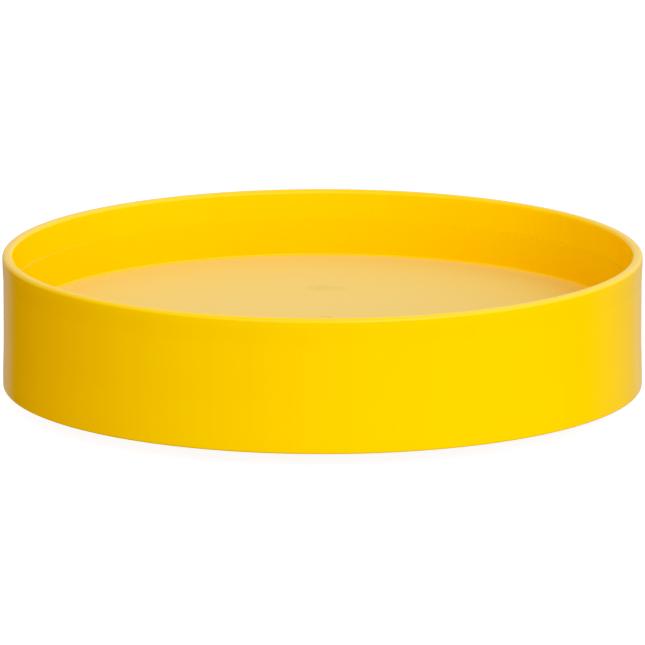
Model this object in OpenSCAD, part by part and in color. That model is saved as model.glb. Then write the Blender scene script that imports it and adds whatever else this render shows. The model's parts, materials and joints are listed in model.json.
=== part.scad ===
// Round drum dolly: a one-piece moulded tray whose well takes the foot of one drum,
// carried on swivel casters that are screwed under its deck, inside its skirt.
// Millimetres. Z is up, the floor is z = 0, and the tray's axis is the Z axis.
// Every caster trails towards +Y.

/* [Tray] */
// Outside diameter, at the rim and at the foot of the skirt
tray_d = 630; // [520:1:760]
// Thickness of the wall at the rim
rim_t = 10.5; // [8:0.5:14]
// Depth of the drum well, from the rim down to the deck
well_depth = 66.5; // [45:0.5:90]
// Depth below the rim of the small ledge in the wall of the well
ledge_depth = 31; // [20:1:38]
// Width of that ledge
ledge_w = 2.5; // [1:0.1:4]
// Thickness of the deck that the drum stands on
deck_t = 6; // [5:0.5:9]
// Thickness of the skirt below the deck
skirt_t = 6; // [4:0.5:9]
// Gap between the foot of the skirt and the floor
ground_gap = 15; // [8:1:30]
// How far the middle of the outer wall stands in from the rim and from the foot
waist = 0.8; // [0.2:0.1:2]
// Height of the bead around the rim
bead_h = 10; // [6:1:16]
// Radius of the rounded edges of the rim
rim_round = 4; // [1:0.5:5]
// Radius of the fillet between the deck and the wall of the well
deck_fillet = 3; // [1:0.5:6]
// Radius of the moulding gate's mark in the middle of the deck
gate_r = 8; // [4:0.5:12]
// Depth of that mark
gate_depth = 0.6; // [0.3:0.1:1.5]

/* [Underside] */
// How far the square pad over each caster stands out past the caster's top plate
pad_margin = 9; // [4:0.5:12]
// Thickness of each pad below the deck
pad_t = 8.5; // [7.5:0.5:16]
// Thickness of the ribs
rib_t = 4; // [3:0.5:6]
// Depth of the ribs that stand clear of the casters
rib_depth = 22; // [14:1:30]
// Radius of the smallest ring rib
hub_ring_r = 45; // [30:1:60]
// Number of ring ribs, from that one out to the casters
ring_ribs = 4; // [2:1:5]

/* [Casters] */
// Number of casters
caster_count = 5; // [4:1:5]
// Diameter of each wheel
wheel_d = 50; // [42:1:62]
// Width of each tread
wheel_w = 25; // [20:0.5:30]
// Distance from the swivel axis back to the axle
trail = 22; // [18:0.5:28]
// Room between a turning wheel and the skirt
skirt_clear = 18; // [8:1:40]
// Thickness of each top plate
plate_t = 2.5; // [2:0.1:3.5]
// Distance from the edge of a top plate in to its screws
hole_edge = 9; // [7:0.5:12]

/* [Swivel head] */
// Diameter of the balls of both races
ball_d = 4; // [3.2:0.1:4.6]
// Thickness of the sheet that the fork is pressed from
sheet_t = 2.5; // [2.4:0.1:3.2]
// Gap between two race faces, which the balls bridge
race_gap = 1.6; // [1.2:0.1:2]
// Radius of the fork's crown
crown_r = 19; // [17:0.5:20]
// Radius of the circle that the lower balls run on
lower_race_r = 8; // [7.5:0.1:9.5]
// Thickness of the lower race cup
cup_t = 2.5; // [2:0.1:3.5]
// Diameter of the kingpin's shank
kingpin_d = 8; // [6:0.5:8]
// Diameter of the kingpin's head
kingpin_head_d = 15; // [12:0.5:18]
// Thickness of the kingpin's head
kingpin_head_t = 3.5; // [2.5:0.5:5]

/* [Wheel and axle] */
// Diameter of the hub, inside the tread
hub_d = 38; // [36:1:40]
// Diameter of the hub's boss
boss_d = 18; // [15:0.5:20]
// Thickness of the hub's web
web_t = 5; // [3:0.5:8]
// Number of ribs on each face of the web
hub_ribs = 8; // [5:1:10]
// Outside diameter of the axle sleeve that the hub turns on
sleeve_d = 10; // [9:0.5:12]
// Diameter of the axle bolt
axle_d = 6; // [5:0.5:6]
// Radius of the fork's rounded end around the axle
axle_end_r = 9; // [8:0.5:11]
// Height of the axle nut
nut_t = 6; // [4:0.5:7]

/* [Fasteners] */
// Diameter of the mounting screws
screw_d = 6; // [5:0.5:6]
// Width across the flats of each hexagonal head and nut
hex_af = 10; // [8:0.5:10]
// Height of each hexagonal head
head_t = 4; // [3:0.5:5]
// Diameter of the washer under each mounting screw
washer_d = 12; // [11:0.5:12]
// Thickness of that washer
washer_t = 1.2; // [0.8:0.1:1.6]
// Outside diameter of the threaded inserts in the pads
insert_d = 8.4; // [8:0.1:10]
// Length of the threaded inserts
insert_len = 10; // [8:0.5:12]

/* [Fits] */
// Radial clearance of the hub on its sleeve, and of a ball in its groove
running = 0.05; // [0.02:0.01:0.1]
// Radial clearance of a bolt or a screw in its hole
bolt_clear = 0.1; // [0.05:0.05:0.4]
// Gap between the hub's boss and the fork, at each end
boss_gap = 0.6; // [0.3:0.1:1]
// Smallest gap between the tread and the fork, at each side
wheel_side_gap = 1.6; // [1:0.1:3]
// Smallest gap between the lower race cup and the fork's legs
cup_gap = 1.1; // [0.6:0.1:2]
// Gap between the top of the wheel and the kingpin's head
head_gap = 1.8; // [1:0.1:4]
// Gap between the turning fork and the washers under the mounting screws
screw_gap = 2.7; // [1:0.1:5]

/* [Hidden] */
$fn = 64;
eps = 0.01;
over = 1;
reach = 50;

// Heights, built up from the floor.
wheel_r = wheel_d / 2;
kingpin_foot_z = wheel_d + head_gap;
cup_z = kingpin_foot_z + kingpin_head_t;
lower_ball_z = cup_z + cup_t + race_gap / 2;
crown_z = cup_z + cup_t + race_gap;
crown_top_z = crown_z + sheet_t;
upper_ball_z = crown_top_z + race_gap / 2;
plate_z = crown_top_z + race_gap;
pad_z = plate_z + plate_t;
deck_z = pad_z + pad_t;
deck_top_z = deck_z + deck_t;
rim_z = deck_top_z + well_depth;
foot_z = ground_gap;
rib_z = deck_z - rib_depth;

// The tray's radii.
tray_r = tray_d / 2;
waist_r = tray_r - waist;
rim_in_r = tray_r - rim_t;
well_r = rim_in_r - ledge_w;
skirt_in_r = waist_r - skirt_t;
foot_h = 14;
foot_taper_h = 34;
bead_taper_h = 2;
edge_round = 2;
ledge_round = 1;
arc_steps = 6;

// The swivel head's radii.
ball_r = ball_d / 2;
groove_r = ball_r + running;
race_edge = 1.45;
cup_r = lower_race_r + groove_r + race_edge;
upper_race_r = crown_r - groove_r - race_edge;
kingpin_r = kingpin_d / 2;
crown_play = 0.6;
crown_hole_r = kingpin_r + crown_play;
rivet_flare = 1.5;
pin_chamfer = 1;
ball_spacing = 1.15;

// The fork is as wide as the wheel or the lower race cup needs, whichever is more.
leg_in = max(wheel_w / 2 + wheel_side_gap, cup_r + cup_gap);
leg_out = leg_in + sheet_t;
bend_r = 4;
leg_front_y = -13;
leg_back_y = 15;
axle_hole_r = axle_d / 2 + bolt_clear;

// The top plate and its pad are as wide as the turning fork and the screws around it need.
head_sweep_r = max(crown_r, norm([leg_out, leg_back_y]));
screw_circle_r = head_sweep_r + screw_gap + washer_d / 2;
hole_pitch = screw_circle_r * sqrt(2);
plate_w = hole_pitch + 2 * hole_edge;
pad_w = plate_w + 2 * pad_margin;

// The wheel's widths, each half of the whole.
boss_half = leg_in - boss_gap;
rim_setback = 0.5;
rim_half = wheel_w / 2 - rim_setback;
hub_rim_t = 3.5;
rib_setback = 2;
rib_half = rim_half - rib_setback;
hub_rib_t = 2;
tread_round = 3;
bolt_tail = 1.5;

// Where the casters stand.
sweep_r = norm([trail + wheel_r, wheel_w / 2]);
caster_circle_r = skirt_in_r - skirt_clear - sweep_r;
caster_step = 360 / caster_count;
first_angle = -90;
ring_clear = 8;
inner_ring_r = caster_circle_r - sweep_r - ring_clear;
ring_step = (inner_ring_r - hub_ring_r) / (ring_ribs - 1);
pad_round = 10;
plate_round = 5;
pad_tie = 24;
insert_room = 1;
screw_end_room = 1;
screw_len = washer_t + plate_t + insert_len - screw_end_room;

casters = [0 : caster_count - 1];
function numbered(name) = [for (i = casters) str(name, "_", i + 1)];

// Cutters run past the faces that they cut by over, and blanks that are trimmed to shape run out to reach.

// Points of an arc about c, from angle a0 to a1.
function arc(c, r, a0, a1) =
    [for (k = [0 : arc_steps])
        let (a = a0 + (a1 - a0) * k / arc_steps)
        c + r * [cos(a), sin(a)]];

// Angle, seen from c, at which the line from p touches a circle of radius r. side is 1 or -1.
function touch_angle(p, c, r, side) = atan2(p[1] - c[1], p[0] - c[0]) + side * acos(r / norm(p - c));

// Moves children to caster i's swivel axis, keeping their direction.
module at_caster(i) {
    a = first_angle + caster_step * i;
    translate([caster_circle_r * cos(a), caster_circle_r * sin(a), 0]) children();
}

// The same, turned so that their Y axis is radial.
module at_pad(i) {
    rotate([0, 0, first_angle + caster_step * i - 90]) translate([0, caster_circle_r, 0]) children();
}

// The four screw places of a top plate.
module at_screws() {
    for (x = [-1, 1], y = [-1, 1]) translate([x * hole_pitch / 2, y * hole_pitch / 2, 0]) children();
}

// Puts a shape that stands along Z from its base onto caster i's axle, along +X from x.
module on_axle(i, x) {
    at_caster(i) translate([x, trail, wheel_r]) rotate([0, 90, 0]) children();
}

// A square block with rounded corners, from z up.
module rounded_block(w, h, r, z) {
    for (s = [[w, w - 2 * r], [w - 2 * r, w]])
        translate([-s[0] / 2, -s[1] / 2, z]) cube([s[0], s[1], h]);
    for (x = [-1, 1], y = [-1, 1])
        translate([x * (w / 2 - r), y * (w / 2 - r), z]) cylinder(r = r, h = h);
}

// A groove for balls that run at radius r and height z.
module ball_groove(r, z) {
    rotate_extrude() translate([r, z]) circle(r = groove_r);
}

// A ring of balls, as many as stand side by side with a little room.
module ball_ring(r, z) {
    count = floor(2 * PI * r / (ball_d * ball_spacing));
    for (k = [0 : count - 1]) rotate([0, 0, k * 360 / count]) translate([r, 0, z]) sphere(r = ball_r);
}

// Section of the tray's wall and deck, as [radius, height].
module tray_section() {
    polygon(concat(
        [[0, deck_z], [skirt_in_r, deck_z]],
        arc([skirt_in_r + edge_round, foot_z + edge_round], edge_round, 180, 270),
        arc([tray_r - edge_round, foot_z + edge_round], edge_round, 270, 360),
        [[tray_r, foot_z + foot_h], [waist_r, foot_z + foot_h + foot_taper_h],
         [waist_r, rim_z - bead_h - bead_taper_h], [tray_r, rim_z - bead_h]],
        arc([tray_r - rim_round, rim_z - rim_round], rim_round, 0, 90),
        arc([rim_in_r + rim_round, rim_z - rim_round], rim_round, 90, 180),
        [[rim_in_r, rim_z - ledge_depth]],
        arc([well_r + ledge_round, rim_z - ledge_depth - ledge_round], ledge_round, 90, 180),
        arc([well_r - deck_fillet, deck_top_z + deck_fillet], deck_fillet, 0, -90),
        [[0, deck_top_z]]));
}

// A ring rib under the deck, down to height z.
module ring_rib(r, z) {
    rotate_extrude() translate([r - rib_t / 2, z]) square([rib_t, deck_z - z + eps]);
}

// A straight rib under the deck, from radius r0 to r1, down to height z.
module radial_rib(a, r0, r1, z, shift = 0) {
    rotate([0, 0, a]) translate([r0, shift - rib_t / 2, z]) cube([r1 - r0, rib_t, deck_z - z + eps]);
}

module tray() {
    color([1, 0.8, 0]) difference() {
        union() {
            rotate_extrude($fn = 128) tray_section();
            for (k = [0 : ring_ribs - 1]) ring_rib(hub_ring_r + k * ring_step, rib_z);
            ring_rib(caster_circle_r, pad_z);
            for (i = casters) {
                a = first_angle + caster_step * i;
                radial_rib(a, hub_ring_r, inner_ring_r, rib_z);
                radial_rib(a + caster_step / 2, hub_ring_r, skirt_in_r + over, rib_z);
                for (s = [-1, 1])
                    radial_rib(a, inner_ring_r, skirt_in_r + over, pad_z, s * pad_tie);
                at_pad(i) rounded_block(pad_w, pad_t + eps, pad_round, pad_z);
            }
        }
        for (i = casters) at_pad(i) at_screws()
            translate([0, 0, pad_z - over]) cylinder(d = insert_d, h = insert_len + insert_room + over);
        translate([0, 0, deck_top_z - gate_depth]) cylinder(r = gate_r, h = gate_depth + over);
    }
}

module threaded_inserts() {
    color([0.8, 0.65, 0.3]) for (i = casters) at_pad(i) at_screws() translate([0, 0, pad_z]) difference() {
        cylinder(d = insert_d, h = insert_len);
        translate([0, 0, -over]) cylinder(r = screw_d / 2 + running, h = insert_len + 2 * over);
    }
}

module mounting_screws() {
    head_z = plate_z - washer_t - head_t;
    color([0.75, 0.76, 0.78]) for (i = casters) at_pad(i) at_screws() translate([0, 0, head_z]) {
        cylinder(d = hex_af / cos(30), h = head_t, $fn = 6);
        cylinder(d = screw_d, h = head_t + screw_len);
    }
}

module mounting_washers() {
    color([0.7, 0.71, 0.73]) for (i = casters) at_pad(i) at_screws()
        translate([0, 0, plate_z - washer_t]) difference() {
            cylinder(d = washer_d, h = washer_t);
            translate([0, 0, -over]) cylinder(r = screw_d / 2 + bolt_clear, h = washer_t + 2 * over);
        }
}

module top_plate(i) {
    color([0.72, 0.73, 0.75]) difference() {
        at_pad(i) rounded_block(plate_w, plate_t, plate_round, plate_z);
        at_pad(i) at_screws() translate([0, 0, plate_z - over])
            cylinder(r = screw_d / 2 + bolt_clear, h = plate_t + 2 * over);
        at_caster(i) {
            translate([0, 0, plate_z - over]) cylinder(r = kingpin_r, h = plate_t + 2 * over);
            translate([0, 0, pad_z - rivet_flare])
                cylinder(r1 = kingpin_r, r2 = kingpin_r + rivet_flare, h = rivet_flare);
            ball_groove(upper_race_r, upper_ball_z);
        }
    }
}

module kingpin(i) {
    head_r = kingpin_head_d / 2;
    color([0.6, 0.61, 0.63]) at_caster(i) rotate_extrude() polygon([
        [0, kingpin_foot_z], [head_r - pin_chamfer, kingpin_foot_z],
        [head_r, kingpin_foot_z + pin_chamfer], [head_r, cup_z],
        [kingpin_r, cup_z], [kingpin_r, pad_z - rivet_flare], [kingpin_r + rivet_flare, pad_z], [0, pad_z]]);
}

module race_cup(i) {
    color([0.66, 0.67, 0.69]) at_caster(i) difference() {
        translate([0, 0, cup_z]) cylinder(r = cup_r, h = cup_t);
        translate([0, 0, cup_z - over]) cylinder(r = kingpin_r, h = cup_t + 2 * over);
        ball_groove(lower_race_r, lower_ball_z);
    }
}

module upper_balls(i) {
    color([0.85, 0.85, 0.87]) at_caster(i) ball_ring(upper_race_r, upper_ball_z);
}

module lower_balls(i) {
    color([0.85, 0.85, 0.87]) at_caster(i) ball_ring(lower_race_r, lower_ball_z);
}

// Front outline of the fork's pressed channel, as [x, z].
module fork_channel() {
    inner_bend = bend_r - sheet_t;
    low_z = wheel_r - axle_end_r - over;
    outer = concat(
        [[leg_out, low_z]],
        arc([leg_out - bend_r, crown_top_z - bend_r], bend_r, 0, 90),
        arc([bend_r - leg_out, crown_top_z - bend_r], bend_r, 90, 180),
        [[-leg_out, low_z]]);
    inner = concat(
        [[-leg_in, low_z]],
        arc([inner_bend - leg_in, crown_z - inner_bend], inner_bend, 180, 90),
        arc([leg_in - inner_bend, crown_z - inner_bend], inner_bend, 90, 0),
        [[leg_in, low_z]]);
    polygon(concat(outer, inner));
}

// Side outline of the fork, as [y, z]: a leg that narrows from the crown to its round end at the axle.
module fork_side() {
    axle = [trail, wheel_r];
    back = [leg_back_y, crown_top_z + over];
    front = [leg_front_y, crown_top_z + over];
    a0 = touch_angle(back, axle, axle_end_r, -1);
    a1 = touch_angle(front, axle, axle_end_r, 1) - 360;
    low = (a0 + a1) / 2;
    polygon(concat([front, back], arc(axle, axle_end_r, a0, low), arc(axle, axle_end_r, low, a1)));
}

module fork(i) {
    color([0.74, 0.75, 0.77]) at_caster(i) difference() {
        union() {
            intersection() {
                translate([0, reach, 0]) rotate([90, 0, 0])
                    linear_extrude(height = 2 * reach) fork_channel();
                translate([-reach, 0, 0]) rotate([90, 0, 90])
                    linear_extrude(height = 2 * reach) fork_side();
            }
            translate([0, 0, crown_z]) cylinder(r = crown_r, h = sheet_t);
        }
        translate([0, 0, crown_z - over]) cylinder(r = crown_hole_r, h = sheet_t + 2 * over);
        ball_groove(upper_race_r, upper_ball_z);
        ball_groove(lower_race_r, lower_ball_z);
        translate([-leg_out - over, trail, wheel_r]) rotate([0, 90, 0])
            cylinder(r = axle_hole_r, h = 2 * (leg_out + over));
    }
}

module axle_bolt(i) {
    color([0.75, 0.76, 0.78]) on_axle(i, -leg_out - head_t) {
        cylinder(d = hex_af / cos(30), h = head_t, $fn = 6);
        cylinder(d = axle_d, h = head_t + 2 * leg_out + nut_t + bolt_tail);
    }
}

module axle_nut(i) {
    color([0.7, 0.71, 0.73]) on_axle(i, leg_out) difference() {
        cylinder(d = hex_af / cos(30), h = nut_t, $fn = 6);
        translate([0, 0, -over]) cylinder(r = axle_d / 2 + running, h = nut_t + 2 * over);
    }
}

module axle_sleeve(i) {
    color([0.6, 0.61, 0.63]) on_axle(i, -leg_in) difference() {
        cylinder(d = sleeve_d, h = 2 * leg_in);
        translate([0, 0, -over]) cylinder(r = axle_hole_r, h = 2 * (leg_in + over));
    }
}

// A ring about Z, from radius r0 to r1 and half as high as h each way.
module ring(r0, r1, h) {
    rotate_extrude() translate([r0, -h]) square([r1 - r0, 2 * h]);
}

module wheel_hub(i) {
    bore_r = sleeve_d / 2 + running;
    color([0.25, 0.25, 0.27]) on_axle(i, 0) {
        ring(bore_r, boss_d / 2, boss_half);
        ring(boss_d / 2 - eps, hub_d / 2 - hub_rim_t + eps, web_t / 2);
        ring(hub_d / 2 - hub_rim_t, hub_d / 2, rim_half);
        for (k = [0 : hub_ribs - 1]) rotate([0, 0, k * 360 / hub_ribs])
            translate([boss_d / 2 - over, -hub_rib_t / 2, -rib_half])
                cube([(hub_d - boss_d) / 2 - hub_rim_t + 2 * over, hub_rib_t, 2 * rib_half]);
    }
}

module tread(i) {
    half = wheel_w / 2;
    color([0.35, 0.36, 0.38]) on_axle(i, 0) rotate_extrude($fn = 96) polygon(concat(
        [[hub_d / 2, -half]],
        arc([wheel_r - tread_round, tread_round - half], tread_round, -90, 0),
        arc([wheel_r - tread_round, half - tread_round], tread_round, 0, 90),
        [[hub_d / 2, half]]));
}

tray();
threaded_inserts();
mounting_screws();
mounting_washers();
for (i = casters) {
    top_plate(i);
    kingpin(i);
    race_cup(i);
    upper_balls(i);
    lower_balls(i);
    fork(i);
    axle_bolt(i);
    axle_nut(i);
    axle_sleeve(i);
    wheel_hub(i);
    tread(i);
}
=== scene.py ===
"""Drum dolly: a one-piece moulded tray on five swivel casters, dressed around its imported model.

Lengths are metres. Z is up, the floor is z = 0, the tray's axis is the Z axis, and every caster trails
towards +Y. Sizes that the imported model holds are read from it; the others are the fields of each class.
"""

import json
import logging
import math
from dataclasses import dataclass
from enum import Enum
from typing import Any, Callable, Iterable, Optional, Sequence

import bmesh
import bpy
from mathutils import Matrix, Vector


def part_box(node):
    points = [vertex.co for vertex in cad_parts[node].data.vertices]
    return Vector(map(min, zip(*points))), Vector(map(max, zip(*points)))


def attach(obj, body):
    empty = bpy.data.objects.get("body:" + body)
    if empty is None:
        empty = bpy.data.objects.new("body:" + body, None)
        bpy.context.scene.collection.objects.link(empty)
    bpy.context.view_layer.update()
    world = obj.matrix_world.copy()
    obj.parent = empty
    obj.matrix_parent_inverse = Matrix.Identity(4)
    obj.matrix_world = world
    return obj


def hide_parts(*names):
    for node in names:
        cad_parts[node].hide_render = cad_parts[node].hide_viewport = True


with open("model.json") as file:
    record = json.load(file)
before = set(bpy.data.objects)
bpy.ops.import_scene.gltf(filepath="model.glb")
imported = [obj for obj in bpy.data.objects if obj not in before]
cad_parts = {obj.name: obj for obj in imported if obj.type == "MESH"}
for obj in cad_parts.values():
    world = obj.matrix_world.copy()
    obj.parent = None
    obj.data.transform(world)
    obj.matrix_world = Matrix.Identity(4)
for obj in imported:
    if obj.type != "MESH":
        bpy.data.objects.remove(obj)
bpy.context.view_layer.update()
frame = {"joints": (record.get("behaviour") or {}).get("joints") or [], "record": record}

MM = 0.001
WELD = 1e-6
SHARP = math.radians(38)
FLAT = math.radians(0.4)
log = logging.getLogger("drum_dolly")

Point = tuple[float, float]
Colour = tuple[float, float, float]
Picker = Callable[[bpy.types.MeshPolygon], bool]


# Sections and solids


@dataclass(frozen=True)
class Corner:
    """A corner of a section: its two coordinates and the radius that rounds it."""

    a: float
    b: float
    round: float = 0.0


def rounded(corners: Sequence[Corner], closed: bool = True, step: float = 15.0) -> list[Point]:
    """Rounds the corners of an outline with arcs.

    Args:
        corners: The outline's corners in order.
        closed: Whether the last corner joins the first; if not, both ends stay sharp.
        step: The largest turn between two points of an arc, in degrees.

    Returns:
        The points of the rounded outline.
    """
    points: list[Point] = []
    count = len(corners)
    for k, corner in enumerate(corners):
        here = Vector((corner.a, corner.b))
        before = Vector((corners[k - 1].a, corners[k - 1].b)) - here
        after = Vector((corners[(k + 1) % count].a, corners[(k + 1) % count].b)) - here
        end = not closed and k in (0, count - 1)
        angle = math.pi if end else before.angle(after)
        if corner.round <= 0 or math.pi - angle < 1e-4:
            points.append((here.x, here.y))
            continue
        reach = min(corner.round / math.tan(angle / 2), 0.49 * min(before.length, after.length))
        radius = reach * math.tan(angle / 2)
        middle = (before.normalized() + after.normalized()).normalized()
        centre = here + middle * (radius / math.sin(angle / 2))
        start = here + before.normalized() * reach - centre
        finish = here + after.normalized() * reach - centre
        first = math.atan2(start.y, start.x)
        turn = math.remainder(math.atan2(finish.y, finish.x) - first, 2 * math.pi)
        steps = max(2, math.ceil(abs(turn) / math.radians(step)))
        for n in range(steps + 1):
            a = first + turn * n / steps
            points.append((centre.x + radius * math.cos(a), centre.y + radius * math.sin(a)))
    return [p for k, p in enumerate(points) if k == 0 or math.dist(p, points[k - 1]) > 10 * WELD]


def mirrored(side: Sequence[Corner], across: bool = False) -> list[Point]:
    """The rounded outline of corners and their mirror image: the other height, or the other way across."""
    flip = (-1, 1) if across else (1, -1)
    other = [Corner(flip[0] * c.a, flip[1] * c.b, c.round) for c in reversed(side)]
    return rounded([*side, *other])


def circle(a: float, b: float, radius: float, steps: int = 24) -> list[Point]:
    """Points of a circle about (a, b)."""
    turns = [2 * math.pi * k / steps for k in range(steps)]
    return [(a + radius * math.cos(t), b + radius * math.sin(t)) for t in turns]


def square(width: float, round_r: float) -> list[Point]:
    """Points of a centred square with rounded corners."""
    h = width / 2
    return rounded([Corner(x * h, y * h, round_r) for x, y in ((-1, -1), (1, -1), (1, 1), (-1, 1))])


def hexagon(flats: float) -> list[Point]:
    """Points of a hexagon that is that wide across its flats, with a corner along its first axis."""
    turns = [math.radians(60 * k) for k in range(6)]
    return [(flats / math.sqrt(3) * math.cos(t), flats / math.sqrt(3) * math.sin(t)) for t in turns]


class Mix(Enum):
    """The ways in which one solid combines with another."""

    JOIN = "UNION"
    CUT = "DIFFERENCE"
    COMMON = "INTERSECT"


class Solid:
    """A closed mesh that can be moved, combined with others and softened at its edges."""

    def __init__(self, mesh: bpy.types.Mesh) -> None:
        """Keeps the mesh."""
        self.mesh = mesh

    @classmethod
    def _closed(cls, bm: bmesh.types.BMesh) -> "Solid":
        """Turns the faces outward and keeps the result as a solid."""
        bmesh.ops.recalc_face_normals(bm, faces=bm.faces)
        mesh = bpy.data.meshes.new("solid")
        bm.to_mesh(mesh)
        bm.free()
        return cls(mesh)

    @classmethod
    def turned(cls, section: Sequence[Point], segments: int = 64) -> "Solid":
        """Turns a section about the Z axis.

        Args:
            section: Points as (radius, height). A section that doesn't meet the axis closes on itself.
            segments: How many steps make the turn.

        Returns:
            The turned solid.
        """
        bm = bmesh.new()
        turns = [2 * math.pi * k / segments for k in range(segments)]
        rings = []
        for r, z in section:
            places = [(r * math.cos(t), r * math.sin(t), z) for t in turns] if r > WELD else [(0, 0, z)]
            rings.append([bm.verts.new(place) for place in places])
        pairs = list(zip(rings, rings[1:]))
        if all(len(ring) > 1 for ring in rings):
            pairs.append((rings[-1], rings[0]))
        for low, high in pairs:
            for k in range(segments):
                n = (k + 1) % segments
                ends = (low[k % len(low)], low[n % len(low)], high[n % len(high)], high[k % len(high)])
                corners = list(dict.fromkeys(ends))
                if len(corners) > 2:
                    bm.faces.new(corners)
        return cls._closed(bm)

    @classmethod
    def prism(cls, outline: Sequence[Point], low: float, high: float) -> "Solid":
        """A prism along Z over an outline, from low to high."""
        bm = bmesh.new()
        floor = [bm.verts.new((x, y, low)) for x, y in outline]
        roof = [bm.verts.new((x, y, high)) for x, y in outline]
        bm.faces.new(floor)
        bm.faces.new(roof)
        for k in range(len(outline)):
            bm.faces.new((floor[k - 1], floor[k], roof[k], roof[k - 1]))
        return cls._closed(bm)

    @classmethod
    def rod(cls, radius: float, low: float, high: float, segments: int = 48) -> "Solid":
        """A plain round rod along Z, which is only used to cut with or inside another solid."""
        return cls.turned([(0, low), (radius, low), (radius, high), (0, high)], segments)

    @classmethod
    def relief(
        cls, radius_at: Callable[[float, float], float], low: float, high: float, around: int, along: int
    ) -> "Solid":
        """A rod along Z whose radius changes with angle and height, such as a thread or a knurl.

        Args:
            radius_at: The radius at a share of the turn, from 0 to 1, and a height.
            low: The lowest height.
            high: The highest height.
            around: Points around each ring.
            along: Steps between low and high.

        Returns:
            The rod, closed by two flat ends.
        """
        bm = bmesh.new()
        rings = []
        for n in range(along + 1):
            z = low + (high - low) * n / along
            ring = []
            for k in range(around):
                r, t = radius_at(k / around, z), 2 * math.pi * k / around
                ring.append(bm.verts.new((r * math.cos(t), r * math.sin(t), z)))
            rings.append(ring)
        for lower, upper in zip(rings, rings[1:]):
            for k in range(around):
                bm.faces.new((lower[k - 1], lower[k], upper[k], upper[k - 1]))
        bm.faces.new(rings[0])
        bm.faces.new(rings[-1])
        return cls._closed(bm)

    @classmethod
    def ball(cls, radius: float) -> "Solid":
        """A bearing ball, turned from a half circle."""
        steps = 12
        turns = [math.pi * (k / steps - 0.5) for k in range(steps + 1)]
        return cls.turned([(radius * math.cos(t), radius * math.sin(t)) for t in turns], 2 * steps)

    @classmethod
    def group(cls, solids: Iterable["Solid"]) -> "Solid":
        """Several solids that don't touch, as one."""
        bm = bmesh.new()
        for solid in solids:
            bm.from_mesh(solid.mesh)
        return cls._closed(bm)

    def placed(self, matrix: Matrix) -> "Solid":
        """A copy moved by a matrix."""
        mesh = self.mesh.copy()
        mesh.transform(matrix)
        return Solid(mesh)

    def shifted(self, x: float = 0.0, y: float = 0.0, z: float = 0.0) -> "Solid":
        """A copy moved along the axes."""
        return self.placed(Matrix.Translation((x, y, z)))

    def spun(self, degrees: float, axis: str = "Z") -> "Solid":
        """A copy turned about an axis through the origin."""
        return self.placed(Matrix.Rotation(math.radians(degrees), 4, axis))

    def laid_along_x(self) -> "Solid":
        """A copy whose Z axis points along +X, whose X axis points along +Y and whose Y axis points up."""
        return self.placed(Matrix(((0, 0, 1, 0), (1, 0, 0, 0), (0, 1, 0, 0), (0, 0, 0, 1))))

    def mixed(self, how: Mix, *others: "Solid") -> "Solid":
        """Combines this solid with others, one after another.

        Args:
            how: Whether the others are joined, cut away or kept in common.
            others: The solids to combine with this one.

        Returns:
            The combined solid.
        """
        base = bpy.data.objects.new("base", self.mesh)
        link = bpy.context.scene.collection.objects.link
        link(base)
        tools = [bpy.data.objects.new("tool", other.mesh) for other in others]
        for tool in tools:
            link(tool)
            step = base.modifiers.new("mix", "BOOLEAN")
            step.operation = how.value
            step.object = tool
            step.solver = "MANIFOLD"
        graph = bpy.context.evaluated_depsgraph_get()
        mesh = bpy.data.meshes.new_from_object(base.evaluated_get(graph), depsgraph=graph)
        for made in (base, *tools):
            bpy.data.objects.remove(made)
        return Solid(mesh)

    def softened(self, width: float, sharper_than: float = math.degrees(SHARP)) -> "Solid":
        """Rounds the edges that turn more than an angle.

        Args:
            width: How far the rounding reaches in from the edge.
            sharper_than: The smallest turn of an edge that is rounded, in degrees.

        Returns:
            The softened solid.
        """
        bm = bmesh.new()
        bm.from_mesh(self.mesh)
        bmesh.ops.remove_doubles(bm, verts=bm.verts, dist=WELD)
        bmesh.ops.dissolve_limit(bm, angle_limit=FLAT, verts=bm.verts, edges=bm.edges)
        turn = math.radians(sharper_than)
        edges = [e for e in bm.edges if len(e.link_faces) == 2 and e.calc_face_angle() > turn]
        bmesh.ops.bevel(
            bm, geom=edges, offset=width, offset_type="OFFSET", segments=2, profile=0.5, affect="EDGES",
            clamp_overlap=True,
        )
        return self._closed(bm)


def bar(
    section: Sequence[Point], start: float, end: float, degrees: float = 0.0, aside: float = 0.0
) -> Solid:
    """A bar that stands out from the Z axis.

    Args:
        section: Its section as (across, height).
        start: Its distance from the axis at its near end.
        end: Its distance from the axis at its far end.
        degrees: The direction in which it stands out, from +X.
        aside: How far it is moved across its direction.

    Returns:
        The bar.
    """
    return Solid.prism(section, start, end).laid_along_x().shifted(y=aside).spun(degrees)


# Finishes


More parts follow.
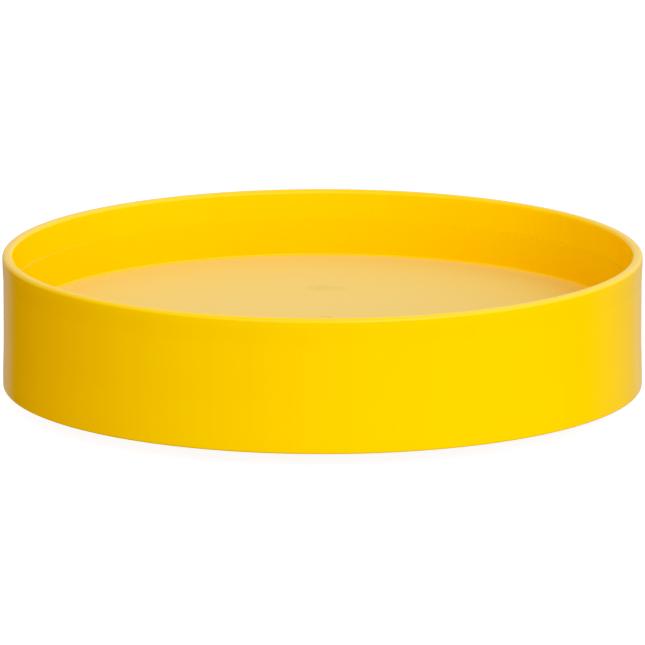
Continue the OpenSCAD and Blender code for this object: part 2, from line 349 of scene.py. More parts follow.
class Signal:
    """A shader socket that adds Math nodes when it is used in an expression."""

    def __init__(self, recipe: "Recipe", socket: bpy.types.NodeSocket) -> None:
        """Keeps the socket and the recipe that it belongs to."""
        self.recipe = recipe
        self.socket = socket

    def _maths(self, operation: str, first: Any, second: Any, clamp: bool = False) -> "Signal":
        """Adds one Math node and gives its result."""
        settings = {"operation": operation, "use_clamp": clamp}
        return self.recipe.node("ShaderNodeMath", settings, {0: first, 1: second})

    def __add__(self, other: Any) -> "Signal":
        """self + other."""
        return self._maths("ADD", self, other)

    def __radd__(self, other: Any) -> "Signal":
        """other + self."""
        return self._maths("ADD", other, self)

    def __sub__(self, other: Any) -> "Signal":
        """self - other."""
        return self._maths("SUBTRACT", self, other)

    def __rsub__(self, other: Any) -> "Signal":
        """other - self."""
        return self._maths("SUBTRACT", other, self)

    def __mul__(self, other: Any) -> "Signal":
        """self * other."""
        return self._maths("MULTIPLY", self, other)

    def __rmul__(self, other: Any) -> "Signal":
        """other * self."""
        return self._maths("MULTIPLY", other, self)

    def __truediv__(self, other: Any) -> "Signal":
        """self / other."""
        return self._maths("DIVIDE", self, other)

    def __pow__(self, other: Any) -> "Signal":
        """self ** other."""
        return self._maths("POWER", self, other)

    def __abs__(self) -> "Signal":
        """The size of self without its sign."""
        return self._maths("ABSOLUTE", self, 0.0)

    def limited(self) -> "Signal":
        """self, kept between 0 and 1."""
        return self._maths("ADD", self, 0.0, clamp=True)

    def over(self, edge: float, width: float) -> "Signal":
        """A mask that rises from 0 to 1 about an edge, over a width."""
        return ((self - edge) / width + 0.5).limited()


class Recipe:
    """The node tree of one finish, or of the room's light."""

    def __init__(self, tree: bpy.types.NodeTree) -> None:
        """Starts from an empty tree."""
        self.tree = tree
        tree.nodes.clear()

    def node(self, kind: str, settings: dict[str, Any], sockets: dict[Any, Any], output: Any = 0) -> Signal:
        """Adds a node: its settings first, then the values or links of its sockets.

        Args:
            kind: The node's type.
            settings: Attributes to set; stops is a ramp's list of (place, colour).
            sockets: Values, Signals or sockets by the name or number of each input.
            output: The name or number of the output that is wanted.

        Returns:
            The chosen output.
        """
        node = self.tree.nodes.new(kind)
        for name, value in settings.items():
            if name == "stops":
                while len(node.color_ramp.elements) < len(value):
                    node.color_ramp.elements.new(1.0)
                for element, (place, colour) in zip(node.color_ramp.elements, value):
                    element.position = place
                    element.color = (*colour, 1.0)
            else:
                setattr(node, name, value)
        for name, value in sockets.items():
            if isinstance(value, Signal):
                self.tree.links.new(value.socket, node.inputs[name])
            else:
                node.inputs[name].default_value = value
        if not node.outputs:
            return Signal(self, node.inputs[0])
        return Signal(self, node.outputs[output])

    def place(self, stretch: Colour = (1.0, 1.0, 1.0)) -> Signal:
        """The piece's own coordinates, each multiplied by a number."""
        where = self.node("ShaderNodeTexCoord", {}, {}, "Object")
        return self.node("ShaderNodeVectorMath", {"operation": "MULTIPLY"}, {0: where, 1: stretch})

    def axes(self, vector: Signal) -> tuple[Signal, Signal, Signal]:
        """The three numbers of a vector."""
        x, y, z = (self.node("ShaderNodeSeparateXYZ", {}, {0: vector}, k) for k in range(3))
        return x, y, z

    def noise(self, scale: float, detail: float = 2.0, stretch: Colour = (1.0, 1.0, 1.0)) -> Signal:
        """A noise from 0 to 1, mostly near 0.5, in features of about 1 / scale metres."""
        sockets = {"Vector": self.place(stretch), "Scale": scale, "Detail": detail}
        return self.node("ShaderNodeTexNoise", {}, sockets)

    def tint(self, mask: Signal, low: Colour, high: Colour) -> Signal:
        """A colour that goes from low to high with a mask."""
        settings = {"data_type": "RGBA", "blend_type": "MIX"}
        colours = {0: mask, 6: (*low, 1.0), 7: (*high, 1.0)}
        return self.node("ShaderNodeMix", settings, colours, 2)

    def over_colour(self, mask: Signal, under: Signal, colour: Colour) -> Signal:
        """A colour laid over another where a mask is 1."""
        settings = {"data_type": "RGBA", "blend_type": "MIX"}
        return self.node("ShaderNodeMix", settings, {0: mask, 6: under, 7: (*colour, 1.0)}, 2)

    def bump(self, height: Signal, depth: float, under: Optional[Signal] = None) -> Signal:
        """A normal that shows a relief of that depth, in metres, over another normal."""
        sockets: dict[Any, Any] = {"Height": height, "Distance": depth, "Strength": 1.0}
        if under is not None:
            sockets["Normal"] = under
        return self.node("ShaderNodeBump", {}, sockets)


def shade(light: float, colour: Colour) -> Colour:
    """A colour made lighter or darker by a factor, kept below 1."""
    return tuple(min(1.0, c * light) for c in colour)


@dataclass(frozen=True)
class Finish:
    """What every finish has: its name, its slot in the record and its colour."""

    name: str
    slot: str
    colour: Colour

    def material(self) -> bpy.types.Material:
        """Makes the finish's material, or gives the one made before."""
        made = bpy.data.materials.get(self.name)
        if made is None:
            made = bpy.data.materials.new(self.name)
            made.use_nodes = True
            made.diffuse_color = (*self.colour, 1.0)
            recipe = Recipe(made.node_tree)
            shader = recipe.node("ShaderNodeBsdfPrincipled", {}, self.sockets(recipe))
            recipe.node("ShaderNodeOutputMaterial", {}, {"Surface": shader})
        return made

    def sockets(self, recipe: Recipe) -> dict[Any, Any]:
        """The values and links of the shader's sockets."""
        raise NotImplementedError


@dataclass(frozen=True)
class PolishedPlastic(Finish):
    """Moulded plastic from a polished tool: glossy, a little wavy, with faint streaks along its flow.

    Painted shade: inside the well the wall below the ledge is darker, and the ledge is a fine dark line.
    """

    roughness: float = 0.2
    ior: float = 1.5
    specular: float = 0.5
    wave_depth: float = 0.5 * MM
    peel_depth: float = 0.03 * MM
    painted_shade_below_ledge: float = 0.4
    painted_shade_in_ledge: float = 0.93
    ledge_half: float = 1.5 * MM

    def sockets(self, recipe: Recipe) -> dict[Any, Any]:
        """The values and links of the shader's sockets."""
        mouth_r, ledge_z = bore("well_mouth")
        x, y, z = recipe.axes(recipe.place())
        # Painted shade inside the well: lower darkens the wall below the ledge, line darkens the ledge's
        # crease.
        inside = 1.0 - ((x * x + y * y) ** 0.5).over(mouth_r + self.ledge_half, self.ledge_half)
        lower = inside * (1.0 - z.over(ledge_z, self.ledge_half))
        line = inside * (1.0 - (abs(z - ledge_z) / self.ledge_half)).limited()
        streaks = recipe.noise(30.0, 3.0, (1.0, 1.0, 0.1))
        lines = recipe.noise(170.0, 2.0, (1.0, 1.0, 0.03))
        cloud = recipe.noise(5.0, 2.0)
        # Painted shade: the wall below the ledge is pulled towards the darker tint.
        mask = (0.4 * streaks + 0.3 * lines + 0.3 * cloud).over(0.5, 0.4) - self.painted_shade_below_ledge * lower
        waves = recipe.bump(recipe.noise(14.0, 1.0, (1.0, 1.0, 0.35)), self.wave_depth)
        peel = recipe.bump(recipe.noise(260.0, 2.0), self.peel_depth, waves)
        tint = recipe.tint(mask, shade(0.965, self.colour), shade(1.03, self.colour))
        return {
            # Painted shade: the ledge's crease is laid over with a darker copy of the colour.
            "Base Color": recipe.over_colour(line, tint, shade(self.painted_shade_in_ledge, self.colour)),
            "Roughness": self.roughness + 0.06 * (cloud - 0.5),
            "Normal": peel,
            "IOR": self.ior,
            "Specular IOR Level": self.specular,
        }


@dataclass(frozen=True)
class Stain:
    """A faint round stain: its place, its reach and how much of it shows."""

    x: float
    y: float
    reach: float
    share: float


@dataclass(frozen=True)
class EtchedPlastic(Finish):
    """Moulded plastic from an etched tool: fine grain, soft sheen, faint stains; its edge has a painted wall
    reflection.
    """

    roughness: float = 0.6
    ior: float = 1.5
    sheen: float = 0.25
    sheen_roughness: float = 0.5
    grain_depth: float = 0.02 * MM
    edge_r: float = 293 * MM
    edge_width: float = 18 * MM
    painted_wall_reflection_colour: Colour = (0.93, 0.455, 0.002)
    stains: tuple[Stain, ...] = (
        Stain(-1 * MM, 141 * MM, 15 * MM, 0.9), Stain(16 * MM, 139 * MM, 12 * MM, 0.5),
    )
    stain_colour: Colour = (0.6, 0.33, 0.0)

    def sockets(self, recipe: Recipe) -> dict[Any, Any]:
        """The values and links of the shader's sockets."""
        cloud = recipe.noise(4.0, 3.0)
        tint = recipe.tint(cloud.over(0.5, 0.6), shade(0.985, self.colour), shade(1.015, self.colour))
        x, y, _ = recipe.axes(recipe.place())
        away = (x * x + y * y) ** 0.5
        # Painted reflection: near the wall the deck is laid over with the wall's yellow, standing in for the
        # wall reflected in it.
        tint = recipe.over_colour(away.over(self.edge_r, self.edge_width), tint, self.painted_wall_reflection_colour)
        ragged = 0.5 * (recipe.noise(120.0, 2.0) - 0.5)
        for stain in self.stains:
            right, back = x - stain.x, y - stain.y
            spot = 1.0 - ((right * right + back * back) ** 0.5 / stain.reach + ragged).over(0.75, 0.9)
            tint = recipe.over_colour(stain.share * spot, tint, self.stain_colour)
        return {
            "Base Color": tint,
            "Roughness": self.roughness + 0.05 * (cloud - 0.5),
            "Normal": recipe.bump(recipe.noise(1400.0, 2.0), self.grain_depth),
            "IOR": self.ior,
            "Sheen Weight": self.sheen,
            "Sheen Roughness": self.sheen_roughness,
        }


@dataclass(frozen=True)
class PlatedSteel(Finish):
    """Pressed or turned steel, with a thin bright plating that is cloudy and faintly tinted."""

    tint: Colour = (0.62, 0.63, 0.60)
    roughness: float = 0.32
    grain_depth: float = 0.01 * MM

    def sockets(self, recipe: Recipe) -> dict[Any, Any]:
        """The values and links of the shader's sockets."""
        cloud = recipe.noise(110.0, 4.0)
        spangle = recipe.noise(700.0, 3.0)
        return {
            "Base Color": recipe.tint(cloud.over(0.5, 0.45), self.colour, self.tint),
            "Metallic": 1.0,
            "Roughness": self.roughness + 0.2 * (cloud - 0.5) + 0.1 * (spangle - 0.5),
            "Normal": recipe.bump(spangle, self.grain_depth),
        }


@dataclass(frozen=True)
class TurnedMetal(Finish):
    """Bare metal with the fine rings that a lathe leaves along one axis."""

    roughness: float = 0.28
    rings: Colour = (1.0, 1.0, 30.0)
    ring_depth: float = 0.004 * MM

    def sockets(self, recipe: Recipe) -> dict[Any, Any]:
        """The values and links of the shader's sockets."""
        rings = recipe.noise(120.0, 3.0, self.rings)
        cloud = recipe.noise(80.0, 2.0)
        return {
            "Base Color": recipe.tint(cloud.over(0.5, 0.5), shade(0.9, self.colour), self.colour),
            "Metallic": 1.0,
            "Roughness": self.roughness + 0.18 * (rings - 0.5) + 0.1 * (cloud - 0.5),
            "Normal": recipe.bump(rings, self.ring_depth),
        }


@dataclass(frozen=True)
class GrainedPlastic(Finish):
    """Dull moulded plastic with a fine grain, for hubs and nylon rings."""

    roughness: float = 0.5
    grain_depth: float = 0.03 * MM

    def sockets(self, recipe: Recipe) -> dict[Any, Any]:
        """The values and links of the shader's sockets."""
        grain = recipe.noise(900.0, 3.0)
        cloud = recipe.noise(60.0, 2.0)
        return {
            "Base Color": recipe.tint(
                cloud.over(0.5, 0.5), shade(0.85, self.colour), shade(1.15, self.colour)
            ),
            "Roughness": self.roughness + 0.12 * (grain - 0.5),
            "Normal": recipe.bump(grain, self.grain_depth),
        }


@dataclass(frozen=True)
class TreadRubber(Finish):
    """Soft tread rubber: dull, finely grained, with pale dust where it rolls."""

    dust: Colour = (0.3, 0.29, 0.27)
    roughness: float = 0.68
    grain_depth: float = 0.05 * MM

    def sockets(self, recipe: Recipe) -> dict[Any, Any]:
        """The values and links of the shader's sockets."""
        grain = recipe.noise(800.0, 4.0)
        patches = recipe.noise(140.0, 5.0).over(0.56, 0.16)
        return {
            "Base Color": recipe.tint(0.4 * patches, self.colour, self.dust),
            "Roughness": self.roughness + 0.15 * (grain - 0.5) + 0.1 * patches,
            "Normal": recipe.bump(grain, self.grain_depth),
        }


YELLOW = PolishedPlastic("moulded_yellow", "yellow_plastic", (0.93, 0.455, 0.002))
DECK = EtchedPlastic("etched_yellow", "yellow_plastic", (0.74, 0.385, 0.028))
ZINC = PlatedSteel("zinc_plate", "zinc_plated_steel", (0.70, 0.71, 0.73))
STEEL = TurnedMetal("turned_steel", "bare_steel", (0.52, 0.52, 0.53))
AXLE_STEEL = TurnedMetal("turned_sleeve_steel", "bare_steel", (0.52, 0.52, 0.53), rings=(30.0, 1.0, 1.0))
BALL_STEEL = TurnedMetal("polished_ball_steel", "ball_steel", (0.8, 0.8, 0.82), roughness=0.12)
BRASS = TurnedMetal("turned_brass", "brass", (0.78, 0.57, 0.25))
HUB_BLACK = GrainedPlastic("black_hub_plastic", "hub_plastic", (0.03, 0.03, 0.033))
NYLON = GrainedPlastic("nut_nylon", "zinc_plated_steel", (0.55, 0.6, 0.66), roughness=0.4)
TREAD = TreadRubber("grey_tread_rubber", "tread_rubber", (0.17, 0.175, 0.18))


# Pieces


def frame_body(node: str) -> str:
    """The body that a CAD node belongs to."""
    return next(body for body, nodes in frame["record"]["behaviour"]["bodies"].items() if node in nodes)


def show(solid: Solid, node: str, *finishes: Finish, second: Optional[Picker] = None) -> None:
    """Puts a finished piece in the scene in place of its CAD node.

    Args:
        solid: The piece's shape, where it belongs.
        node: The node that it stands for.
        finishes: The piece's one or two finishes.
        second: Picks the faces that have the second finish.
    """
    body = frame_body(node)
    mesh = solid.mesh.copy()
    mesh.name = f"{node}_mesh"
    mesh.shade_smooth()
    mesh.set_sharp_from_angle(angle=SHARP)
    mesh.materials.clear()
    for finish in finishes:
        mesh.materials.append(finish.material())
    for face in mesh.polygons:
        face.material_index = int(second is not None and second(face))
    piece = bpy.data.objects.new(f"{node}_finished", mesh)
    bpy.context.scene.collection.objects.link(piece)
    piece.modifiers.new("even_normals", "WEIGHTED_NORMAL").keep_sharp = True
    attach(piece, body)
    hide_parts(node)
    log.info("%s: %d faces, on %s", piece.name, len(mesh.polygons), body)


def half_size(node: str, axis: int) -> float:
    """Half of a CAD node's size along an axis."""
    low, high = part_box(node)
    return (high[axis] - low[axis]) / 2


def heights(node: str) -> tuple[float, float]:
    """The lowest and the highest point of a CAD node."""
    low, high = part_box(node)
    return low[2], high[2]


def joint_place(name: str) -> Vector:
    """Where a joint's axis passes."""
    return Vector(next(j["pos_m"] for j in frame["joints"] if j["name"] == name))


def mount(name: str) -> dict[str, Any]:
    """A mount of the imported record."""
    return next(m for m in frame["record"]["mounts"] if m["name"] == name)


def bore(name: str) -> tuple[float, float]:
    """The radius of a bore's mount, and the height of its lower end."""
    dims = mount(name)["dims"]
    return dims["r_mm"] * MM, mount(name)["pos_m"][2] - dims["length_mm"] * MM / 2


CASTERS = range(1, 1 + sum(j["name"].startswith("swivel_") for j in frame["joints"]))


def pad_place(i: int) -> Matrix:
    """Moves a shape from the origin to caster i's axis, turned so that its Y axis is radial."""
    x, y, _ = joint_place(f"swivel_{i}")
    return Matrix.Translation((x, y, 0)) @ Matrix.Rotation(math.atan2(y, x) - math.pi / 2, 4, "Z")


def caster_place(i: int) -> Matrix:
    """Moves a shape from the origin to caster i's axis, without turning it."""
    x, y, _ = joint_place(f"swivel_{i}")
    return Matrix.Translation((x, y, 0))


@dataclass(frozen=True)
class CasterPiece:
    """A piece that every caster has: its node's name without a number, its shape and its finishes."""

    name: str
    solid: Solid
    finishes: tuple[Finish, ...]
    second: Optional[Picker] = None
    place: Callable[[int], Matrix] = caster_place


def show_on_casters(*pieces: CasterPiece) -> None:
    """Shows pieces at every caster, one caster after another."""
    for i in CASTERS:
        for made in pieces:
            solid = made.solid.placed(made.place(i))
            show(solid, f"{made.name}_{i}", *made.finishes, second=made.second)


@dataclass(frozen=True)
class ScrewPattern:
    """The square of four screws that holds each caster."""

    hole_edge: float = 9 * MM

    @property
    def pitch(self) -> float:
        """The distance between two screws along a side."""
        return 2 * (half_size("top_plate_1", 0) - self.hole_edge)

    def around_plate(self, solid: Solid) -> Solid:
        """Four copies of a solid, at the screws of a plate at the origin."""
        h = self.pitch / 2
        return Solid.group(solid.shifted(x * h, y * h) for x in (-1, 1) for y in (-1, 1))

    def everywhere(self, solid: Solid) -> Solid:
        """Copies of a solid at every screw of the dolly."""
        four = self.around_plate(solid)
        return Solid.group(four.placed(pad_place(i)) for i in CASTERS)


@dataclass
class Tray:
    """The moulded tray: wall, well, deck, skirt, ribs and caster pads in one piece."""

    waist: float = 0.8 * MM
    bead_h: float = 10 * MM
    bead_taper: float = 16 * MM
    bead_round: float = 60 * MM
    foot_h: float = 14 * MM
    foot_taper: float = 34 * MM
    skirt_t: float = 6 * MM
    deck_t: float = 6 * MM
    rim_round: float = 4 * MM
    deck_fillet: float = 2 * MM
    ledge_round: float = 0.4 * MM
    gate_r: float = 8 * MM
    gate_depth: float = 0.6 * MM
    gate_round: float = 0.3 * MM
    skirt_root: float = 3 * MM
    foot_round: float = 2 * MM
    waist_round: float = 400 * MM
    rib_t: float = 4 * MM
    rib_tip_t: float = 3 * MM
    rib_tip_round: float = 0.8 * MM
    rib_depth: float = 22 * MM
    rib_root: float = 1.5 * MM
    rib_rings: int = 4
    hub_ring_r: float = 45 * MM
    ring_clear: float = 8 * MM
    pad_tie: float = 24 * MM
    pad_margin: float = 9 * MM
    pad_round: float = 10 * MM
    insert_room: float = 1 * MM
    segments: int = 256
    screws: ScrewPattern = ScrewPattern()

    def __post_init__(self) -> None:
        """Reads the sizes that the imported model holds."""
        low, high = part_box("tray")
        self.radius = high[0]
        self.foot_z = low[2]
        self.rim_z = high[2]
        self.well_r, _ = bore("drum_well")
        self.mouth_r, self.ledge_z = bore("well_mouth")
        self.deck_z = mount("deck")["pos_m"][2]
        self.under_z = self.deck_z - self.deck_t
        self.deck_r = self.well_r - 0.1 * MM
        self.pad_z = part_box("top_plate_1")[1][2]
        self.skirt_in_r = self.radius - self.waist - self.skirt_t
        self.circle_r = joint_place("swivel_1").xy.length
        tread_half = half_size("tread_1", 0)
        tread_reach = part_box("tread_1")[1][1] - joint_place("swivel_1").y
        self.inner_ring_r = self.circle_r - math.hypot(tread_reach, tread_half) - self.ring_clear

    def shell_section(self) -> list[Point]:
        """The section of wall, deck and skirt, as (radius, height)."""
        waist_r = self.radius - self.waist
        return rounded([
            Corner(0, self.under_z),
            Corner(self.skirt_in_r, self.under_z, self.skirt_root),
            Corner(self.skirt_in_r, self.foot_z, self.foot_round),
            Corner(self.radius, self.foot_z, self.foot_round),
            Corner(self.radius, self.foot_z + self.foot_h, self.waist_round),
            Corner(waist_r, self.foot_z + self.foot_h + self.foot_taper, self.waist_round),
            Corner(waist_r, self.rim_z - self.bead_h - self.bead_taper, self.bead_round),
            Corner(self.radius, self.rim_z - self.bead_h, self.bead_round),
            Corner(self.radius, self.rim_z, self.rim_round),
            Corner(self.mouth_r, self.rim_z, self.rim_round),
            Corner(self.mouth_r, self.ledge_z, self.ledge_round),
            Corner(self.well_r, self.ledge_z, self.ledge_round),
            Corner(self.well_r, self.deck_z, self.deck_fillet),
            Corner(self.gate_r, self.deck_z, self.gate_round),
            Corner(self.gate_r - self.gate_depth, self.deck_z - self.gate_depth, self.gate_round),
            Corner(0, self.deck_z - self.gate_depth),
        ], closed=False, step=11.0)

    def rib_section(self, low: float, at: float = 0.0) -> list[Point]:
        """The section of a rib as (across, height): thinner at its tip, rounded at its root."""
        half, tip, flare = self.rib_t / 2, self.rib_tip_t / 2, self.rib_t / 2 + 2 * self.rib_root
        top, root = self.under_z + self.deck_t / 2, self.under_z + 0.02 * MM
        side = [
            Corner(flare, top), Corner(flare, root), Corner(half, root, self.rib_root),
            Corner(tip, low, self.rib_tip_round),
        ]
        return [(at + a, b) for a, b in mirrored(side, across=True)]

    def ribs(self) -> list[Solid]:
        """The ring ribs and the ribs that stand out from the centre."""
        low = self.under_z - self.rib_depth
        step = (self.inner_ring_r - self.hub_ring_r) / (self.rib_rings - 1)
        rings = [self.hub_ring_r + k * step for k in range(self.rib_rings)]
        made = [Solid.turned(self.rib_section(low, r), self.segments // 2) for r in rings]
        made.append(Solid.turned(self.rib_section(self.pad_z, self.circle_r), self.segments))
        deep, shallow = self.rib_section(low), self.rib_section(self.pad_z)
        wall_r = self.skirt_in_r + self.skirt_t / 2
        for i in CASTERS:
            x, y, _ = joint_place(f"swivel_{i}")
            outward = math.degrees(math.atan2(y, x))
            between = outward + 180 / len(CASTERS)
            made.append(bar(deep, self.hub_ring_r, self.inner_ring_r, outward))
            made.append(bar(deep, self.hub_ring_r, wall_r, between))
            made += [bar(shallow, self.inner_ring_r, wall_r, outward, s * self.pad_tie) for s in (-1, 1)]
        return made

    def pads(self) -> list[Solid]:
        """The square pads that the casters are screwed to."""
        width = 2 * (half_size("top_plate_1", 0) + self.pad_margin)
        top = self.under_z + self.deck_t / 2
        pad = Solid.prism(square(width, self.pad_round), self.pad_z, top).softened(1 * MM)
        return [pad.placed(pad_place(i)) for i in CASTERS]

    def insert_holes(self) -> Solid:
        """The blind holes that the threaded inserts sit in."""
        low, high = heights("threaded_inserts")
        hole = Solid.rod(Inserts.radius, low - self.insert_room, high + self.insert_room)
        return self.screws.everywhere(hole)

    def on_deck(self, face: bpy.types.MeshPolygon) -> bool:
        """Whether a face is part of the deck, with the lower part of the fillet round it."""
        near = abs(face.center.z - self.deck_z) < self.deck_fillet
        return near and face.center.xy.length < self.deck_r and face.normal.z > 0.5

    def build(self) -> None:
        """Moulds the tray and shows it, with its deck in the etched finish."""
        shell = Solid.turned(self.shell_section(), self.segments)
        whole = shell.mixed(Mix.JOIN, *self.ribs(), *self.pads()).mixed(Mix.CUT, self.insert_holes())
        show(whole, "tray", YELLOW, DECK, second=self.on_deck)


@dataclass(frozen=True)
class Thread:
    """A metric screw thread that runs out at its tip."""

    radius: float = 3 * MM
    pitch: float = 1 * MM
    depth: float = 0.55 * MM
    around: int = 24
    per_turn: int = 6

    def rod(self, low: float, high: float) -> Solid:
        """A threaded rod along Z, pointed at its high end."""
        chamfer = self.depth

        def radius_at(turn: float, z: float) -> float:
            """The radius of the thread at a share of the turn and a height."""
            phase = ((z - low) / self.pitch - turn) % 1.0
            groove = self.depth * (1 - abs(2 * phase - 1)) ** 1.2
            runout = max(0.0, (z - high + chamfer) / chamfer) * self.depth
            return min(self.radius - groove, self.radius - runout)

        steps = max(4, round((high - low) / self.pitch * self.per_turn))
        return Solid.relief(radius_at, low, high, self.around, steps)


@dataclass(frozen=True)
class HexHead:
    """A hexagonal head or nut with its corners chamfered."""

    flats: float = 10 * MM
    chamfer_share: float = 0.95

    def solid(self, height: float, both: bool = False) -> Solid:
        """The head along Z from 0 up, chamfered at its low end, or at both.

        Args:
            height: The head's height.
            both: Whether the high end is chamfered too.

        Returns:
            The head.
        """
        inner, outer = self.chamfer_share * self.flats / 2, self.flats / math.sqrt(3) + 0.1 * MM
        rise = (outer - inner) * math.tan(math.radians(30))
        section = [(0, 0), (inner, 0), (outer, rise)]
        section += [(outer, height - rise), (inner, height)] if both else [(outer, height)]
        section.append((0, height))
        body = Solid.prism(hexagon(self.flats), 0, height)
        return body.mixed(Mix.COMMON, Solid.turned(section, 96)).softened(0.15 * MM, 50.0)


@dataclass
class Inserts:
    """The knurled brass inserts that the mounting screws hold in."""

    radius: float = 4.2 * MM
    bore_r: float = 3.05 * MM
    knurl: float = 0.25 * MM
    teeth: int = 24
    screws: ScrewPattern = ScrewPattern()

    def build(self) -> None:
        """Makes one insert and shows it at every screw."""
        low, high = heights("threaded_inserts")
        middle, band = (low + high) / 2, 0.6 * MM

        def radius_at(turn: float, z: float) -> float:
            """The radius of the knurl, with a plain groove round the middle."""
            slant = 1 if z < middle else -1
            tooth = abs(2 * ((turn * self.teeth + slant * (z - middle) / (2 * MM)) % 1.0) - 1)
            return self.radius - (2 * self.knurl if abs(z - middle) < band else self.knurl * tooth)

        blank = Solid.relief(radius_at, low, high, 4 * self.teeth, 24)
        insert = blank.mixed(Mix.CUT, Solid.rod(self.bore_r, low - MM, high + MM, 32))
        show(self.screws.everywhere(insert), "threaded_inserts", BRASS)


@dataclass
class MountingScrews:
    """The hexagonal screws under the top plates, and their washers."""

    head_h: float = 4 * MM
    plain: float = 0.4 * MM
    washer_hole_r: float = 3.1 * MM
    thread: Thread = Thread()
    head: HexHead = HexHead()
    screws: ScrewPattern = ScrewPattern()

    def build(self) -> None:
        """Makes one screw and one washer, and shows them at every screw."""
        low, high = heights("mounting_screws")
        head = self.head.solid(self.head_h).shifted(z=low)
        shank = self.thread.rod(low + self.head_h - self.plain, high)
        screw = head.mixed(Mix.JOIN, shank)
        show(self.screws.everywhere(screw), "mounting_screws", ZINC)
        base, top = heights("mounting_washers")
        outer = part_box("mounting_washers")[1][0] - joint_place("swivel_2").x
        turned, h = pad_place(2).to_3x3(), self.screws.pitch / 2
        washer_r = outer - max((turned @ Vector((x * h, y * h, 0))).x for x in (-1, 1) for y in (-1, 1))
        section = rounded([
            Corner(self.washer_hole_r, base, 0.15 * MM), Corner(washer_r, base, 0.3 * MM),
            Corner(washer_r, top, 0.15 * MM), Corner(self.washer_hole_r, top, 0.15 * MM),
        ], step=30.0)
        show(self.screws.everywhere(Solid.turned(section, 48)), "mounting_washers", ZINC)


@dataclass
class SwivelHead:
    """The bearing of a caster: top plate, kingpin, race cup and two rings of balls."""

    plate_round: float = 5 * MM
    screw_hole_r: float = 3.1 * MM
    pin_r: float = 4 * MM
    rivet_flare: float = 1.5 * MM
    ball_gap: float = 1.15
    groove_clear: float = 0.05 * MM
    screws: ScrewPattern = ScrewPattern()

    def __post_init__(self) -> None:
        """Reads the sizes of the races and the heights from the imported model."""
        self.ball_r = half_size("lower_balls_1", 2)
        middle = joint_place("swivel_1").x
        self.upper_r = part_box("upper_balls_1")[1][0] - middle - self.ball_r
        self.lower_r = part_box("lower_balls_1")[1][0] - middle - self.ball_r
        self.upper_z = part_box("upper_balls_1")[1][2] - self.ball_r
        self.lower_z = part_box("lower_balls_1")[1][2] - self.ball_r

    def race(self, upper: bool) -> Point:
        """The radius and the height of a race."""
        return (self.upper_r, self.upper_z) if upper else (self.lower_r, self.lower_z)

    def groove(self, upper: bool) -> Solid:
        """The ring that a race's balls run through, to cut grooves with."""
        r, z = self.race(upper)
        return Solid.turned(circle(r, z, self.ball_r + self.groove_clear), 64)

    def plate(self) -> Solid:
        """The square top plate, with its screw holes and a countersunk hole for the kingpin."""
        low, high = heights("top_plate_1")
        blank = Solid.prism(square(2 * half_size("top_plate_1", 0), self.plate_round), low, high)
        sink = Solid.turned([
            (0, low - MM), (self.pin_r, low - MM), (self.pin_r, high - self.rivet_flare),
            (self.pin_r + self.rivet_flare + MM, high + MM), (0, high + MM),
        ], 48)
        holes = self.screws.around_plate(Solid.rod(self.screw_hole_r, low - MM, high + MM, 32))
        return blank.mixed(Mix.CUT, sink, holes, self.groove(True)).softened(0.3 * MM)

    def kingpin(self) -> Solid:
        """The kingpin: a domed head below, a shank, and a riveted end in the plate."""
        low, high = heights("kingpin_1")
        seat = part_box("race_cup_1")[0][2]
        head_r = half_size("kingpin_1", 0)
        return Solid.turned(rounded([
            Corner(0, low), Corner(0.62 * head_r, low, 3 * MM), Corner(head_r, low + 1.2 * MM, 1 * MM),
            Corner(head_r, seat, 0.2 * MM), Corner(self.pin_r, seat, 0.2 * MM),
            Corner(self.pin_r, high - self.rivet_flare, 0.4 * MM),
            Corner(self.pin_r + self.rivet_flare, high, 0.1 * MM), Corner(1.6 * MM, high, 0.3 * MM),
            Corner(1 * MM, high - 0.8 * MM, 0.3 * MM), Corner(0, high - 0.8 * MM),
        ], closed=False), 64)

    def race_cup(self) -> Solid:
        """The cup that the lower balls run in."""
        low, high = heights("race_cup_1")
        outer = half_size("race_cup_1", 0)
        blank = Solid.turned(rounded([
            Corner(self.pin_r, low, 0.2 * MM), Corner(outer, low, 1 * MM),
            Corner(outer, high, 0.3 * MM), Corner(self.pin_r, high, 0.2 * MM),
        ]), 64)
        return blank.mixed(Mix.CUT, self.groove(False)).softened(0.1 * MM, 60.0)

    def ball_ring(self, upper: bool) -> Solid:
        """The balls of one race."""
        r, z = self.race(upper)
        count = math.floor(2 * math.pi * r / (2 * self.ball_r * self.ball_gap))
        ball = Solid.ball(self.ball_r).shifted(r, 0, z)
        return Solid.group(ball.spun(360 * k / count) for k in range(count))

    def build(self) -> None:
        """Makes each piece once and shows it at every caster."""
        show_on_casters(
            CasterPiece("top_plate", self.plate(), (ZINC,), place=pad_place),
            CasterPiece("kingpin", self.kingpin(), (STEEL,)),
            CasterPiece("race_cup", self.race_cup(), (ZINC,)),
            CasterPiece("upper_balls", self.ball_ring(True), (BALL_STEEL,)),
            CasterPiece("lower_balls", self.ball_ring(False), (BALL_STEEL,)),
        )


